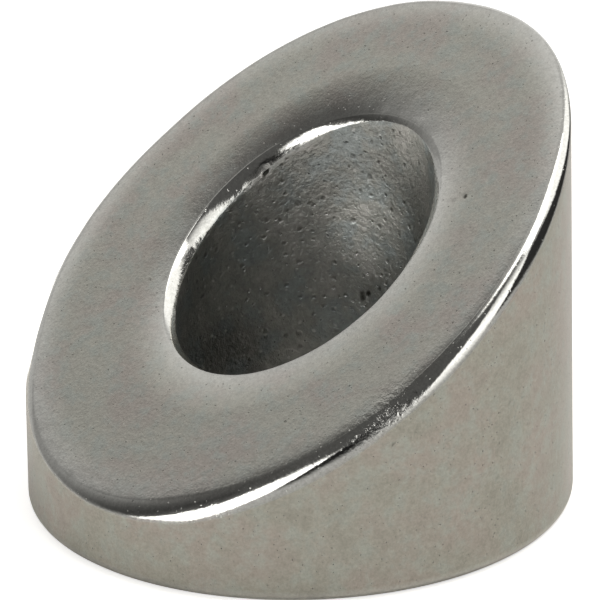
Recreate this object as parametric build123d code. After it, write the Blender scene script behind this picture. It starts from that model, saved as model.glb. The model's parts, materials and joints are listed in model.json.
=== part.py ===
"""Bevelled washer: a short steel barrel with a slanted top, drilled down its length.

It turns a slanted surface into one that is square to a rod or bolt. The flat base lies on the nut's
side or on the post, and the slanted face lies against whatever the rod meets at an angle.

Frame: the origin is the centre of the flat base, +Z runs up the bore, and the barrel is tall towards
+X and short towards -X. Lengths are in millimetres and angles in degrees.
"""
import os
from math import cos, radians, sin, tan

from build123d import *

# The turned barrel and the hole through it, which was drilled a little towards the tall side
outer_diameter = 13.5
bore_diameter = 6.4
bore_offset = 0.2

# The slanted cut: its angle from the base, and the height of the wall where it is lowest
bevel_angle = 35.0
short_side = 1.8

# How far each rounded edge reaches from its sharp corner, along both surfaces that meet there
bevel_rim_rounding = 0.4
bevel_mouth_rounding = 0.3
base_rim_rounding = 0.35
base_mouth_rounding = 0.25

# Levels that shape a quarter-round, and how far a cutting tool runs past what it cuts
rounding_levels = 7
tool_overrun = 1.0

outer_radius = outer_diameter / 2
bore_radius = bore_diameter / 2
rise = outer_diameter * tan(radians(bevel_angle))
axis_height = short_side + rise / 2


def slant_plane(height):
    """The plane parallel to the bevel that crosses the bore's axis at this height."""
    turn = radians(bevel_angle)
    return Plane(origin=(0, 0, height), x_dir=(cos(turn), 0, sin(turn)), z_dir=(-sin(turn), 0, cos(turn)))


def slant_ring(radius, height):
    """The ellipse that an upright cylinder of this radius makes on the slant plane."""
    return slant_plane(height) * Ellipse(radius / cos(radians(bevel_angle)), radius)


def slant_cut_bar(radius, bottom, height):
    """An upright bar, cut off by the slant plane that crosses its axis at this height."""
    length = height - bottom + rise
    bar = Pos(0, 0, bottom) * Cylinder(radius, length, align=(Align.CENTER, Align.CENTER, Align.MIN))
    waste = slant_plane(height) * Box(4 * length, 4 * length, 2 * length, align=(Align.CENTER, Align.CENTER, Align.MIN))
    return bar - waste


def slant_quarter_round(radius, reach):
    """A slice under the bevel whose side curves from the upright wall into the bevel.

    Every level is an ellipse parallel to the bevel, so the rounding keeps the same reach all round,
    at the thin edge of the tall side as well as at the blunt edge of the short side. A positive
    reach curves inwards, as on a rim, and a negative one outwards, as on the mouth of a hole.
    """
    levels = []
    for level in range(rounding_levels):
        turn = radians(90 * level / (rounding_levels - 1))
        ring_radius = radius - reach * (1 - cos(turn))
        ring_height = axis_height - abs(reach) * (1 - sin(turn))
        levels.append(slant_ring(ring_radius, ring_height))
    return loft(levels)


def round_base_edge(solid, radius, reach):
    """Round the edge of the flat base that lies on a circle of this radius."""
    edges = [edge for edge in solid.edges().filter_by(GeomType.CIRCLE) if abs(edge.radius - radius) < reach / 2]
    return fillet(edges, reach)


# The barrel: its wall stops where the rounding of the bevel's rim begins, and the slice closes it
barrel = slant_cut_bar(outer_radius, 0, axis_height - bevel_rim_rounding)
barrel += slant_quarter_round(outer_radius, bevel_rim_rounding)

# The hole: a straight drill, with the slice that opens out into the bevel on top of it. Both move up
# along the slant, so that the slice still ends in the bevel.
drill = slant_cut_bar(bore_radius, -tool_overrun, axis_height - bevel_mouth_rounding)
drill += slant_quarter_round(bore_radius, -bevel_mouth_rounding)
drill = Pos(bore_offset, 0, bore_offset * tan(radians(bevel_angle))) * drill

washer = barrel - drill
washer = round_base_edge(washer, outer_radius, base_rim_rounding)
washer = round_base_edge(washer, bore_radius, base_mouth_rounding)

os.makedirs("parts", exist_ok=True)
export_step(washer, "parts/washer_body.step")
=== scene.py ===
"""The bevelled washer, standing on a pale sheet in a small photographer's studio.

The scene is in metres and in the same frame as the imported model: the origin is the centre of the
flat base, +Z runs up the bore, and the barrel is tall towards +X. Sizes are written in millimetres,
times mm.
"""
import json
from math import cos, degrees, pi, radians, sin

import bpy
import numpy as np
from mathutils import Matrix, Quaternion, Vector, noise


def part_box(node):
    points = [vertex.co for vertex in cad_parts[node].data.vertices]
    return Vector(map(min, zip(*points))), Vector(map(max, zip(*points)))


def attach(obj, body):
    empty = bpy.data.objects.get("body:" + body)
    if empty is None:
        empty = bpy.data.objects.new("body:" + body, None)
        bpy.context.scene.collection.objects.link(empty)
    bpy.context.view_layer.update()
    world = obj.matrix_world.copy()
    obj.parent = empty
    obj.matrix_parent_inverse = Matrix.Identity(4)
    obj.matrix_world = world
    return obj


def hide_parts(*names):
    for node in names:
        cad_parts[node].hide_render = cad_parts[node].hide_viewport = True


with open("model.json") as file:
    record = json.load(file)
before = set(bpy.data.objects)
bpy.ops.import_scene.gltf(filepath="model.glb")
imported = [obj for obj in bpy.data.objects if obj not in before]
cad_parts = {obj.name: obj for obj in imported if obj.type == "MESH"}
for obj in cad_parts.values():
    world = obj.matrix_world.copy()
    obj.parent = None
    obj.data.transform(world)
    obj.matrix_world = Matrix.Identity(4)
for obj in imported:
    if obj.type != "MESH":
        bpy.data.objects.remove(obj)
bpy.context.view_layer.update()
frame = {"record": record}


# The camera. It stands well back behind a long lens, so that the barrel's sides stay upright, and
# looks a little down on the slanted face, which rises from the left to the right and away from it.
mm = 0.001
view_turn = radians(41.24)
view_rise = radians(22.38)
view_roll = radians(-0.99)
stand_off = 215.4 * mm
nearest_seen = 10 * mm
farthest_seen = 10
focal_length = 525.9
film_width = 36
aim = Vector((-0.009 * mm, -0.104 * mm, 5.196 * mm))

upward = Vector((0, 0, 1))
rightward = Vector((cos(view_turn), -sin(view_turn), 0))
away = Vector((sin(view_turn), cos(view_turn), 0))
towards_camera = upward * sin(view_rise) - away * cos(view_rise)

camera_data = bpy.data.cameras.new("camera")
camera_data.lens = focal_length
camera_data.sensor_width = film_width
camera_data.clip_start = nearest_seen
camera_data.clip_end = farthest_seen
camera = bpy.data.objects.new("camera", camera_data)
camera.location = aim + towards_camera * stand_off
upright_view = (-towards_camera).to_track_quat("-Z", "Y")
camera.rotation_mode = "QUATERNION"
camera.rotation_quaternion = upright_view @ Quaternion((0, 0, 1), view_roll)
bpy.context.scene.collection.objects.link(camera)
bpy.context.scene.camera = camera
bpy.context.scene.view_settings.view_transform = "Standard"


# The washer body. One stub of stainless bar, cut off at a slant, drilled from end to end and tumbled
# with stones until every edge was round and its skin a soft grey satin. The stones have worn it a
# little unevenly: the bevel rolls off towards its edges, and those are rounder here and sharper there.
low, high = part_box("washer_body")
mounts = {mount["name"]: mount for mount in frame["record"]["mounts"]}
outer_radius = (high.x - low.x) / 2
bore_radius = mounts["bore"]["dims"]["r_mm"] * mm
bore_offset = mounts["bore"]["pos_m"][0]
bevel_axis = mounts["bevel"]["axis"]
slope = -bevel_axis[0] / bevel_axis[2]
axis_height = mounts["bevel"]["pos_m"][2]

# The rounded edges: how far each reaches along both of its faces. A flatness of 1 is a quarter-round,
# and a flatness of 2 a straight chamfer.
rim_rounding = 0.375 * mm
rim_flatness = 1.29
mouth_rounding = 0.215 * mm
mouth_flatness = 1.76
mouth_flare = 0.024 * mm
base_rim_rounding = 0.35 * mm
base_mouth_rounding = 0.25 * mm

# The bevel stands a little proud, and sinks towards its edges: how far, and how wide and how curved
# the stretch is that sinks. The last of it is rubbed bright.
crown = 0.10 * mm
rim_roll_off = 0.095 * mm
rim_roll_width = 1.125 * mm
rim_roll_power = 3.2
mouth_roll_off = 0.127 * mm
mouth_roll_width = 1.24 * mm
mouth_roll_power = 1.5
rubbed_bright = 1.4

# The uneven wear round the washer. The mouth is rounder and flares less on one side. Each other
# stretch has its middle and half its length, in degrees from the tall side, and how much changes
# there: a share, or a length for the wider mouth.
uneven_wear = 0.05
more_worn_side = radians(117)
more_rounding_there = 0.09 * mm
less_flare_there = 0.071 * mm
sharper_rim = [(-26, 35, 0.62), (104, 30, 0.55), (162, 50, 0.65)]
flatter_rim = (172, 62, 0.65)
sharper_mouth = (0, 75, 0.62)
steeper_mouth = (45, 65, 0.25)
wider_mouth = (-15, 60, 0.06 * mm)

points_round = 540
angles = np.linspace(0, 2 * pi, points_round, endpoint=False)


def wobble(size, seed):
    """Soft uneven values from -1 to 1 round the washer, with bumps of this size at the outer wall."""
    steps = outer_radius / size
    return np.array([noise.noise((steps * cos(a), steps * sin(a), seed)) for a in angles])


def along_stretch(middle, half_length, most):
    """This much at the middle of a stretch of the circle, 0 past its ends and smooth between."""
    apart = np.abs((np.degrees(angles) - middle + 180) % 360 - 180)
    return most * np.clip(1 - (apart / half_length) ** 2, 0, 1) ** 2


rim_reach = rim_rounding * (1 + uneven_wear * wobble(size=1.5 * mm, seed=3.1))
for stretch in sharper_rim:
    rim_reach *= 1 - along_stretch(*stretch)
rim_sinks = rim_roll_off * (1 - along_stretch(*flatter_rim))

more_worn = np.clip(np.cos(angles - more_worn_side), 0, 1) ** 2
mouth_reach = mouth_rounding + more_worn * more_rounding_there
mouth_reach *= 1 + uneven_wear * wobble(size=1.9 * mm, seed=7.7)
mouth_reach *= 1 - along_stretch(*sharper_mouth)
mouth_sinks = mouth_roll_off * (1 + along_stretch(*steeper_mouth))
flared_radius = bore_radius + mouth_flare - more_worn * less_flare_there
flared_radius += along_stretch(*wider_mouth)


def near_edges(centre, radius):
    """How far points of a ring lie towards the rim and towards the mouth, each from 0 to 1."""
    x, y = centre + radius * np.cos(angles), radius * np.sin(angles)
    to_rim = (outer_radius - np.hypot(x, y)) / rim_roll_width
    to_mouth = (np.hypot(x - bore_offset, y) - flared_radius) / mouth_roll_width
    return np.clip(1 - to_rim, 0, 1), np.clip(1 - to_mouth, 0, 1)


def roll_off(centre, radius):
    """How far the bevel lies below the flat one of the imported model, at the points of a ring."""
    near_rim, near_mouth = near_edges(centre, radius)
    return rim_sinks * near_rim**rim_roll_power + mouth_sinks * near_mouth**mouth_roll_power - crown


def rubbed(centre, radius):
    """How bright the tumbling has rubbed the bevel and its edges, from 0 to 1."""
    near_rim, near_mouth = near_edges(centre, radius)
    return np.clip(rubbed_bright * np.maximum(near_rim, near_mouth) ** 2, 0, 1)


def cut_down(along, flatness):
    """How far a rounded edge has come in from one face, out of its reach: 0 at first, 1 at its end."""
    return 1 - np.cos(along * pi / 2) ** flatness


def rim_radius(along):
    return outer_radius - rim_reach * cut_down(along, rim_flatness)


def rim_height(along):
    rounded = rim_reach * cut_down(1 - along, rim_flatness)
    return axis_height - rounded - roll_off(0, rim_radius(along))


def bevel_way(along):
    """The way over the bevel, in steps that lie closer together near both of its edges."""
    closer = (1 - np.cos(along * pi)) / 2
    return (closer + along) / 2


def bevel_centre(along):
    return bore_offset * bevel_way(along)


def bevel_radius(along):
    outer, inner = outer_radius - rim_reach, flared_radius + mouth_reach
    return outer + (inner - outer) * bevel_way(along)


def bevel_height(along):
    return axis_height - roll_off(bevel_centre(along), bevel_radius(along))


def mouth_radius(along):
    return flared_radius + mouth_reach * cut_down(1 - along, mouth_flatness)


def mouth_height(along):
    rounded = mouth_reach * cut_down(along, mouth_flatness)
    return axis_height - rounded - roll_off(bore_offset, mouth_radius(along))


# The skin is one closed surface of rings, which run round the bore. They start on the base by the
# bore, and go out, up the wall, in over the bevel and down the bore.
wall_top = rim_height(0)
bore_top = mouth_height(1)
underside_inner = bore_radius + base_mouth_rounding
underside_outer = outer_radius - base_rim_rounding

rings = {name: [] for name in ("centre", "radius", "height", "lean", "worn", "bore")}


def add_rings(count, centre, radius, height, lean, worn=0.0, bore=0.0):
    """Add rings for one stretch of the section.

    A ring has its centre on the X axis, and it leans by how steeply it rises towards +X. Each fact is
    a number, or a function of the way along the stretch, from 0 to 1.
    """
    along = np.linspace(0, 1, count, endpoint=False)[:, None]
    for name, fact in zip(rings, (centre, radius, height, lean, worn, bore)):
        value = fact(along) if callable(fact) else fact
        rings[name].append(np.broadcast_to(value, (count, points_round)))


# The underside, from the bore outwards
add_rings(
    count=6,
    centre=lambda t: bore_offset * (1 - t),
    radius=lambda t: underside_inner + (underside_outer - underside_inner) * t,
    height=0,
    lean=0,
)
# The rounding from the underside up into the wall
add_rings(
    count=9,
    centre=0,
    radius=lambda t: underside_outer + base_rim_rounding * np.sin(t * pi / 2),
    height=lambda t: base_rim_rounding * (1 - np.cos(t * pi / 2)),
    lean=0,
    worn=lambda t: np.sin(t * pi),
)
# The wall, whose rings lean more and more until they lie along the bevel
add_rings(
    count=30,
    centre=0,
    radius=outer_radius,
    height=lambda t: base_rim_rounding + (wall_top - base_rim_rounding) * t,
    lean=lambda t: slope * t,
)
# The rounded rim, rubbed bright like the bevel except in its first third, where that fades in
add_rings(
    count=22,
    centre=0,
    radius=rim_radius,
    height=rim_height,
    lean=slope,
    worn=lambda t: np.clip(t * 3, 0, 1) * rubbed(0, rim_radius(t)),
)
# The bevel, from the rim in to the mouth of the bore
add_rings(
    count=36,
    centre=bevel_centre,
    radius=bevel_radius,
    height=bevel_height,
    lean=slope,
    worn=lambda t: rubbed(bevel_centre(t), bevel_radius(t)),
)
# The rounded mouth, which turns from rubbed steel to drilled steel near its end
add_rings(
    count=14,
    centre=bore_offset,
    radius=mouth_radius,
    height=mouth_height,
    lean=slope,
    worn=lambda t: 1 - t**4,
    bore=lambda t: t**4,
)
# The bore, down from its flared mouth
add_rings(
    count=50,
    centre=bore_offset,
    radius=lambda t: bore_radius + (flared_radius - bore_radius) * (1 - t) ** 4,
    height=lambda t: bore_top + (base_mouth_rounding - bore_top) * t,
    lean=lambda t: slope * (1 - t),
    bore=1.0,
)
# The rounding from the bore out onto the underside
add_rings(
    count=7,
    centre=bore_offset,
    radius=lambda t: bore_radius + base_mouth_rounding * (1 - np.cos(t * pi / 2)),
    height=lambda t: base_mouth_rounding * (1 - np.sin(t * pi / 2)),
    lean=0,
    bore=lambda t: 1 - t,
)

centre, radius, height, lean, worn, inside = (np.concatenate(rings[name]) for name in rings)
skin_x = centre + radius * np.cos(angles)
skin = np.stack([skin_x, radius * np.sin(angles), height + lean * skin_x], axis=2)


def outward(points):
    """The direction that the skin faces at each of its points."""
    up_the_section = np.roll(points, -1, axis=0) - np.roll(points, 1, axis=0)
    round_the_washer = np.roll(points, -1, axis=1) - np.roll(points, 1, axis=1)
    facing = np.cross(round_the_washer, up_the_section)
    return facing / np.linalg.norm(facing, axis=2, keepdims=True)


def lumps(size, seed):
    """Soft uneven values from -1 to 1 over the skin, with bumps of this size."""
    flat = skin.reshape(-1, 3) / size + seed
    return np.array([noise.noise(point) for point in flat]).reshape(skin.shape[:2])


# Unevenness of the skin: low waves everywhere, more of them on what is rubbed and in the bore, scuffs
# along one stretch of the rim, in degrees from the tall side, and none of it under the base
low_waves = 0.0025 * mm
rubbed_waves = 0.004 * mm
bore_waves = 0.010 * mm
scuffs = 0.007 * mm
scuffed_middle = -112.5
scuffed_half_length = 10
uneven_from = 0.2 * mm

from_scuffed_middle = np.abs(np.degrees(angles) - 360 - scuffed_middle)
scuffed = np.clip(1 - from_scuffed_middle / scuffed_half_length, 0, 1)
change = low_waves * lumps(size=1.9 * mm, seed=11.3)
change += rubbed_waves * worn * lumps(size=0.60 * mm, seed=23.9)
change += bore_waves * inside * lumps(size=0.7 * mm, seed=5.2)
change += scuffs * worn * scuffed * lumps(size=0.22 * mm, seed=31.7)

# A few knocks have left dents, and most of those are painted darker: partly stains, partly painted
# shade in the dent. Each has its place, its reach and its depth in millimetres, and how dark it is.
knocks = [
    ((1.58, 2.90, 7.31), 0.22, 0.020, 0.35),
    ((1.18, 3.05, 7.00), 0.24, 0.015, 0.35),
    ((3.18, 1.18, 4.01), 0.15, 0.045, 0.9),
    ((3.24, 1.02, 4.13), 0.11, 0.030, 0.8),
    ((3.32, 0.70, 4.27), 0.11, 0.030, 0.7),
    ((3.38, 0.38, 6.60), 0.16, 0.020, 0.3),
    ((2.63, 2.09, 4.54), 0.09, 0.025, 0.0),
    ((2.38, -3.55, 8.26), 0.11, 0.012, 0.8),
    ((2.20, -3.31, 8.12), 0.10, 0.008, 0.4),
    ((0.88, -6.69, 4.26), 0.09, 0.015, 0.8),
    ((-2.52, -6.26, 4.03), 0.12, 0.015, 0.6),
    ((0.43, -6.73, 2.40), 0.08, 0.010, 0.5),
]
stain_and_shade = np.zeros_like(change)
for knock_place, reach, depth, darkness in knocks:
    apart = np.linalg.norm(skin - np.array(knock_place) * mm, axis=2)
    knocked = np.clip(1 - (apart / (reach * mm)) ** 2, 0, 1)
    change -= depth * mm * knocked**2
    stain_and_shade = np.maximum(stain_and_shade, darkness * knocked)
change *= np.clip(skin[:, :, 2] / uneven_from, 0, 1)
skin = skin + outward(skin) * change[:, :, None]

ring_count = len(skin)
this_ring = np.arange(ring_count)[:, None] * points_round
next_ring = np.roll(np.arange(ring_count), -1)[:, None] * points_round
this_point = np.arange(points_round)[None, :]
next_point = np.roll(np.arange(points_round), -1)[None, :]
corners = [
    this_ring + this_point,
    this_ring + next_point,
    next_ring + next_point,
    next_ring + this_point,
]
faces = np.stack(corners, axis=2).reshape(-1, 4)

washer_mesh = bpy.data.meshes.new("bevelled_washer")
washer_mesh.from_pydata(skin.reshape(-1, 3).tolist(), [], faces.tolist())
washer_mesh.shade_smooth()
marks = {"worn": worn, "bore": inside, "stain_and_shade": stain_and_shade, "scuffed": worn * scuffed}
for name, value in marks.items():
    attribute = washer_mesh.attributes.new(name, "FLOAT", "POINT")
    attribute.data.foreach_set("value", value.astype(np.float32).ravel())
washer = bpy.data.objects.new("bevelled_washer", washer_mesh)
bpy.context.scene.collection.objects.link(washer)
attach(washer, "root")
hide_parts("washer_body")


class Wire:
    """A socket of a shader. Sums on it add Math nodes, so that shader maths reads as plain maths."""

    def __init__(self, tree, socket=None):
        self.tree = tree
        self.socket = socket

    def node(self, kind, settings=None, sockets=None, output=0):
        """Add a node: its settings go in first, then the value or Wire of each socket that is named."""
        made = self.tree.nodes.new("ShaderNode" + kind)
        for name, value in (settings or {}).items():
            setattr(made, name, value)
        for name, value in (sockets or {}).items():
            if isinstance(value, Wire):
                self.tree.links.new(value.socket, made.inputs[name])
            else:
                made.inputs[name].default_value = value
        return Wire(self.tree, made.outputs[output] if len(made.outputs) else None)

    def other(self, name):
        """Another output of the node that this one comes from."""
        return Wire(self.tree, self.socket.node.outputs[name])

    def maths(self, operation, *values):
        return self.node("Math", {"operation": operation}, dict(enumerate(values)))

    def __add__(self, other):
        return self.maths("ADD", self, other)

    def __radd__(self, other):
        return self.maths("ADD", other, self)

    def __sub__(self, other):
        return self.maths("SUBTRACT", self, other)

    def __rsub__(self, other):
        return self.maths("SUBTRACT", other, self)

    def __mul__(self, other):
        return self.maths("MULTIPLY", self, other)

    def __rmul__(self, other):
        return self.maths("MULTIPLY", other, self)

    def ramp(self, start, end):
        """0 up to start, 1 from end on, and smooth between them."""
        ends = {"Value": self, "From Min": start, "From Max": end}
        return self.node("MapRange", {"interpolation_type": "SMOOTHSTEP"}, ends)

    def along(self, axis):
        """How far this vector goes along an axis."""
        ends = {0: self, 1: tuple(axis)}
        return self.node("VectorMath", {"operation": "DOT_PRODUCT"}, ends, "Value")


def blank_material(name):
    """A material with nothing in it but its output."""
    material = bpy.data.materials.new(name)
    material.use_nodes = True
    material.node_tree.nodes.clear()
    return material


# The steel skin: warm grey satin with a fine grain and faint blotches, small pits painted dark as
# shade, a few bright nicks, edges rubbed brighter, and a bore that the drill left dull and the stones
# hardly reached, with painted light and shade on its wall.
steel_colour = (0.435, 0.425, 0.372, 1)
warm_colour = (0.428, 0.392, 0.350, 1)
cool_colour = (0.395, 0.418, 0.380, 1)
rubbed_colour = (0.56, 0.552, 0.515, 1)
bore_colour = (0.36, 0.36, 0.335, 1)
bore_cool_colour = (0.342, 0.366, 0.360, 1)
bore_warm_colour = (0.42, 0.41, 0.385, 1)
# The colour of the painted shade in the pits, and of the stains and painted shade in the dents
shade_and_stain_colour = (0.05, 0.048, 0.04, 1)
bright_colour = (0.85, 0.84, 0.81, 1)

# Where each colour starts and where it is full, in clouds that go from 0 to 1, and the most that the
# cool grey covers. The skin faces up by 0 on the wall and by 1 where it is level, and a knock's stain
# and painted shade of 1 is the darkest.
warm_clouds = (0.40, 0.62)
cool_clouds = (0.45, 0.66)
cool_cover = 0.7
bore_cool_clouds = (0.48, 0.62)
bore_warm_clouds = (0.50, 0.38)
wall_facing = (0.1, 0.6)
knock_darkening_range = (0.2, 0.7)

# How much the speckles change the brightness of the colour and break up the knocks' stains and
# painted shade, how dark the painted shade in the pits is, and how far the bright nicks cover the steel
grain_contrast = 0.55
fine_contrast = 0.30
cloud_contrast = 0.15
bore_contrast = 0.7
wall_cloud_contrast = 0.30
wall_broad_contrast = 0.35
stain_and_shade_contrast = 0.8
pit_shade = 0.35
large_pit_shade = 0.45
bore_pit_shade = 0.42
nick_cover = 0.22
bore_nick_cover = 0.40

# Painted light and shade in the bore: places painted paler where its wall catches the light, and
# darker low down where it is negative. Each has its place and its reach in millimetres, and how much
# paler it is
bore_painted_light_and_shade = [
    ((3.3, 0.7, 5.9), 1.7, 0.9),
    ((3.3, -0.6, 8.5), 1.2, 0.4),
    ((0.4, 3.2, 2.2), 2.0, -0.45),
]

# How rough the satin is, and what the speckles, pits and places add to it or take off
satin = 0.25
cloud_satin = 0.10
pit_satin = 0.2
rubbed_polish = 0.19
bore_satin = 0.15

# How deep the speckles and pits are, in millimetres. The rubbed parts have lost most of the speckles.
grain_depth = 0.0025
fine_depth = 0.003
cloud_depth = 0.004
rubbed_smooth = 0.6
pit_depth = 0.003
large_pit_depth = 0.006
bore_grain_depth = 0.03
bore_pit_depth = 0.012
scuff_fine_depth = 0.030
scuff_grain_depth = 0.010

# The spots and pale places: how much of their reach is full before they fade, and how far they are
# bent out of round, over what length, in millimetres
full_share = 0.3
bend_by = 0.05
bend_length = 0.1

steel = blank_material("tumbled_steel")
shader = Wire(steel.node_tree)
place = shader.node("TexCoord", output="Object")
place = shader.node("VectorMath", {"operation": "SCALE"}, {0: place, "Scale": 1 / mm})
worn_edge = shader.node("Attribute", {"attribute_name": "worn"}, output="Fac")
in_bore = shader.node("Attribute", {"attribute_name": "bore"}, output="Fac")
stain_and_shade_value = shader.node("Attribute", {"attribute_name": "stain_and_shade"}, output="Fac")
scuff = shader.node("Attribute", {"attribute_name": "scuffed"}, output="Fac")
bend_noise = {"Vector": place, "Scale": 1 / bend_length, "Detail": 1}
bend = shader.node("TexNoise", {}, bend_noise, "Color")
bend_reach = (bend_by, bend_by, bend_by)
bent = shader.node("VectorMath", {"operation": "MULTIPLY_ADD"}, {0: bend, 1: bend_reach, 2: place})


def speckle(size, detail, roughness, shift):
    """Cloudy values near 0.5 over the skin, with clouds of this size in millimetres."""
    settings = {"noise_dimensions": "4D"}
    sockets = {"Vector": place, "W": shift, "Scale": 1 / size, "Detail": detail, "Roughness": roughness}
    return shader.node("TexNoise", settings, sockets)


def swing(speckles, by):
    """Cloudy values near 0, from speckles that are near 0.5."""
    return (speckles - 0.5) * by


def spots(apart, smallest, largest, shift):
    """1 in small rounded spots and 0 between them. The lengths are in millimetres."""
    moved = shader.node("VectorMath", {"operation": "ADD"}, {0: bent, 1: (shift, shift, shift)})
    nearest = shader.node("TexVoronoi", {}, {"Vector": moved, "Scale": 1 / apart}, "Distance")
    chance = nearest.other("Color") * nearest.other("Color")
    reach = smallest + chance * (largest - smallest)
    return 1 - (nearest * apart).ramp(reach * full_share, reach)


def colour_mix(factor, first, second):
    """Two colours or Wires of colour, the second over the first by factor.

    A Mix node takes its colours in sockets 6 and 7, and gives the mixed one in output 2.
    """
    return shader.node("Mix", {"data_type": "RGBA"}, {0: factor, 6: first, 7: second}, 2)


facing_up = shader.node("TexCoord", output="Normal").along(upward)
on_wall = (1 - facing_up.ramp(*wall_facing)) * (1 - in_bore)
broad_clouds = speckle(size=1.6, detail=2, roughness=0.5, shift=5.0)
clouds = speckle(size=0.50, detail=3, roughness=0.6, shift=2.0)
fine_clouds = speckle(size=0.16, detail=3, roughness=0.6, shift=12.0)
grain = speckle(size=0.055, detail=2, roughness=0.6, shift=8.0)
pits = spots(apart=0.15, smallest=0.012, largest=0.040, shift=3.7)
large_pits = spots(apart=0.80, smallest=0.010, largest=0.075, shift=16.3)
nicks = spots(apart=0.20, smallest=0.010, largest=0.030, shift=11.2)
bore_pits = spots(apart=0.22, smallest=0.020, largest=0.130, shift=21.9) * in_bore
bore_nicks = spots(apart=0.23, smallest=0.015, largest=0.085, shift=34.5) * in_bore
bore_clouds = speckle(size=0.9, detail=3, roughness=0.6, shift=44.0)
bore_grain = speckle(size=0.16, detail=3, roughness=0.65, shift=4.0)

tint = colour_mix(broad_clouds.ramp(*warm_clouds), steel_colour, warm_colour)
tint = colour_mix(clouds.ramp(*cool_clouds) * cool_cover, tint, cool_colour)
tint = colour_mix(worn_edge, tint, rubbed_colour)
bore_tint = colour_mix(bore_clouds.ramp(*bore_cool_clouds), bore_colour, bore_cool_colour)
bore_tint = colour_mix(bore_clouds.ramp(*bore_warm_clouds), bore_tint, bore_warm_colour)
tint = colour_mix(in_bore, tint, bore_tint)

shade = 1 + swing(grain, by=grain_contrast) + swing(fine_clouds, by=fine_contrast)
shade = shade + swing(clouds, by=cloud_contrast)
shade = shade + in_bore * swing(bore_grain, by=bore_contrast)
blotches = swing(clouds, by=wall_cloud_contrast) + swing(broad_clouds, by=wall_broad_contrast)
shade = shade + on_wall * blotches
# Painted light and shade in the bore: paler where its wall catches the light, darker low down
for painted_place, reach, painted_lift in bore_painted_light_and_shade:
    ends = {0: bent, 1: painted_place}
    apart = shader.node("VectorMath", {"operation": "DISTANCE"}, ends, "Value")
    shade = shade + in_bore * (1 - apart.ramp(reach * full_share, reach)) * painted_lift
tint = shader.node("VectorMath", {"operation": "SCALE"}, {0: tint, "Scale": shade})

# Painted shade: the pits are painted dark, and the dents get stains with painted shade
knock_shade_and_stains = (stain_and_shade_value + swing(fine_clouds, by=stain_and_shade_contrast) * stain_and_shade_value).ramp(*knock_darkening_range)
shade_and_stains = pits * pit_shade + large_pits * large_pit_shade + bore_pits * bore_pit_shade + knock_shade_and_stains
tint = colour_mix(shade_and_stains, tint, shade_and_stain_colour)
tint = colour_mix(nicks * nick_cover + bore_nicks * bore_nick_cover, tint, bright_colour)

roughness = satin + swing(clouds, by=cloud_satin) + pits * pit_satin
roughness = roughness - worn_edge * rubbed_polish + in_bore * bore_satin
relief = swing(grain, by=grain_depth) + swing(fine_clouds, by=fine_depth)
relief = relief + swing(clouds, by=cloud_depth)
relief = relief * (1 - worn_edge * rubbed_smooth) - pits * pit_depth - large_pits * large_pit_depth
relief = relief + in_bore * swing(bore_grain, by=bore_grain_depth) - bore_pits * bore_pit_depth
scuff_depth = swing(fine_clouds, by=scuff_fine_depth) + swing(grain, by=scuff_grain_depth)
relief = relief + scuff * scuff_depth
dented = shader.node("Bump", {}, {"Strength": 1, "Distance": mm, "Height": relief})
metal = shader.node(
    "BsdfPrincipled",
    {},
    {"Base Color": tint, "Metallic": 1.0, "Roughness": roughness, "Normal": dented},
)
shader.node("OutputMaterial", {}, {"Surface": metal})
washer_mesh.materials.append(steel)


# The sheet that the washer stands on: matt white paper. The camera sees it as bright as the white
# behind it, less the washer's soft shadow, and the steel sees it as the studio lights it. A narrow
# pool of light lies on it, which the steel shows as a white line along the left of the bore's mouth.
sheet_radius = 60 * mm
sheet_points = 96
sheet_colour = (0.80, 0.775, 0.73, 1)
sheet_lift = 0.65
sheet_lift_in_steel = 0.03
white = (1, 1, 1, 1)

sheet_mesh = bpy.data.meshes.new("paper_sheet")
sheet_turns = np.linspace(0, 2 * pi, sheet_points, endpoint=False)
sheet_rim = [(sheet_radius * cos(a), sheet_radius * sin(a), 0) for a in sheet_turns]
sheet_mesh.from_pydata(sheet_rim, [], [tuple(range(sheet_points))])
sheet = bpy.data.objects.new("paper_sheet", sheet_mesh)
bpy.context.scene.collection.objects.link(sheet)

paper = blank_material("white_paper")
shader = Wire(paper.node_tree)
seen_by_camera = shader.node("LightPath", output="Is Camera Ray")
seen_in_steel = seen_by_camera.other("Is Glossy Ray")
lift = seen_by_camera * sheet_lift + seen_in_steel * sheet_lift_in_steel
matt = shader.node("BsdfDiffuse", {}, {"Color": sheet_colour})
glow = shader.node("Emission", {}, {"Color": white, "Strength": lift})
lit = shader.node("AddShader", {}, {0: matt, 1: glow})

# The pool fans out behind the washer from a point under it. Its sides are soft between two turns in
# degrees, and it starts and ends between two distances each.
pool_light = 3.2
pool_origin = (-2.8 * mm, 1.1 * mm, 0)
pool_turn = radians(-29)
pool_sides = (2.8, 7.6)
pool_starts = (11 * mm, 17 * mm)
pool_ends = (22 * mm, 56 * mm)

on_sheet = shader.node("TexCoord", output="Object")
from_origin = shader.node("VectorMath", {"operation": "SUBTRACT"}, {0: on_sheet, 1: pool_origin})
ahead = from_origin.along(away * cos(pool_turn) + rightward * sin(pool_turn))
aside = from_origin.along(rightward * cos(pool_turn) - away * sin(pool_turn))
turned = shader.maths("ABSOLUTE", shader.maths("ARCTAN2", aside, ahead)) * degrees(1)
pool = (1 - turned.ramp(*pool_sides)) * ahead.ramp(*pool_starts) * (1 - ahead.ramp(*pool_ends))
bright = shader.node("Emission", {}, {"Color": white, "Strength": pool_light})
lit = shader.node("MixShader", {}, {0: pool * seen_in_steel, 1: lit, 2: bright})
shader.node("OutputMaterial", {}, {"Surface": lit})
sheet_mesh.materials.append(paper)


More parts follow.
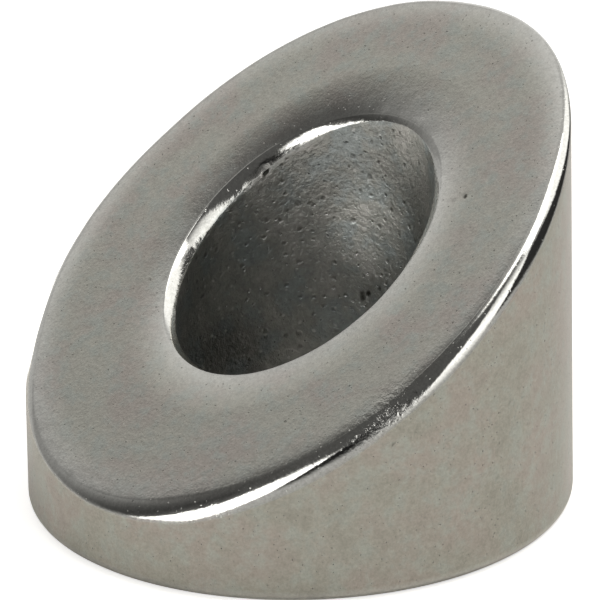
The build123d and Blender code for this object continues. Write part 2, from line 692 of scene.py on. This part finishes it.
# The studio round the washer. Two tall windows of light stand in front, left and right of the camera,
# a broad light hangs high on the right and reaches down behind the washer, and a pale backdrop and a
# cloth stand behind it. Between them the room is dark. The camera itself sees plain white.
world = bpy.data.worlds.new("studio")
world.use_nodes = True
world.node_tree.nodes.clear()
bpy.context.scene.world = world
shader = Wire(world.node_tree)
direction = shader.node("TexCoord", output="Generated")
rise = shader.maths("ARCSINE", direction.along(upward)) * degrees(1)


def patch(centre, half_width, lowest, highest, lean, side_edge, edge):
    """1 inside a soft-edged patch of the studio and 0 outside. It leans by a turn for each rise."""
    turn = radians(centre)
    ahead = away * cos(turn) + rightward * sin(turn)
    across = rightward * cos(turn) - away * sin(turn)
    aside = shader.maths("ARCTAN2", direction.along(across), direction.along(ahead)) * degrees(1)
    aside = shader.maths("ABSOLUTE", aside - lean * (rise - (lowest + highest) / 2))
    inside = 1 - aside.ramp(half_width - side_edge / 2, half_width + side_edge / 2)
    above = rise.ramp(lowest - edge / 2, lowest + edge / 2)
    below = 1 - rise.ramp(highest - edge / 2, highest + edge / 2)
    return inside * above * below


# What stands or hangs in the studio, each painted over the ones before it: its brightness, then the
# turn of its centre, half its width, its lowest and highest rise, its lean, and how wide its soft sides
# and its soft top and bottom are. Turns are degrees clockwise from straight behind the washer, and
# rises are degrees above the sheet.
grey_wall = 0.68
studio = [
    ("broad light high on the right", 3.8, 126, 76, 55, 101, -1.36, 3, 3),
    ("pale backdrop behind", 0.94, -18, 33, 6, 60, -0.14, 52, 12),
    ("foot of the broad light behind the washer", 1.77, 72, 31, 19, 70, 0.15, 20, 11),
    ("dim room on the left", 0.38, -75, 25, 4, 44, -0.35, 10, 8.5),
    ("dark room high on the left", 0.13, -95.5, 36.5, 40.5, 58, 0.38, 13, 11.5),
    ("dark room low on the left", 0.07, -107.5, 21.5, 6.5, 50, -0.55, 44.5, 15),
    ("dark room in front", 0.12, -174, 72, 26, 73, 1.28, 9, 10),
    ("dark room on the right", 0.04, 97, 28, 5, 49, 1.5, 10, 10),
    ("pale cloth behind", 1.02, 14, 25, -8, 23, 0.97, 7, 35),
    ("dim stretch beside the cloth", 0.6, -30.5, 18.5, 1.5, 43, 0.31, 7.5, 41),
    ("dark corner in front", 0.02, -159, 10, 28, 42, -1.5, 6, 6),
    ("left window", 3.76, -127.5, 11.2, 8.5, 37.5, -0.8, 3, 5),
    ("right window", 2.15, 143.5, 18.5, 25, 55, -0.47, 8, 29.5),
]
radiance = grey_wall
for title, brightness, *shape in studio:
    radiance = radiance + patch(*shape) * (brightness - radiance)
seen_by_camera = shader.node("LightPath", output="Is Camera Ray")
radiance = radiance + seen_by_camera * (1 - radiance)
sky = shader.node("Background", {}, {"Color": white, "Strength": radiance})
shader.node("OutputWorld", {}, {"Surface": sky})
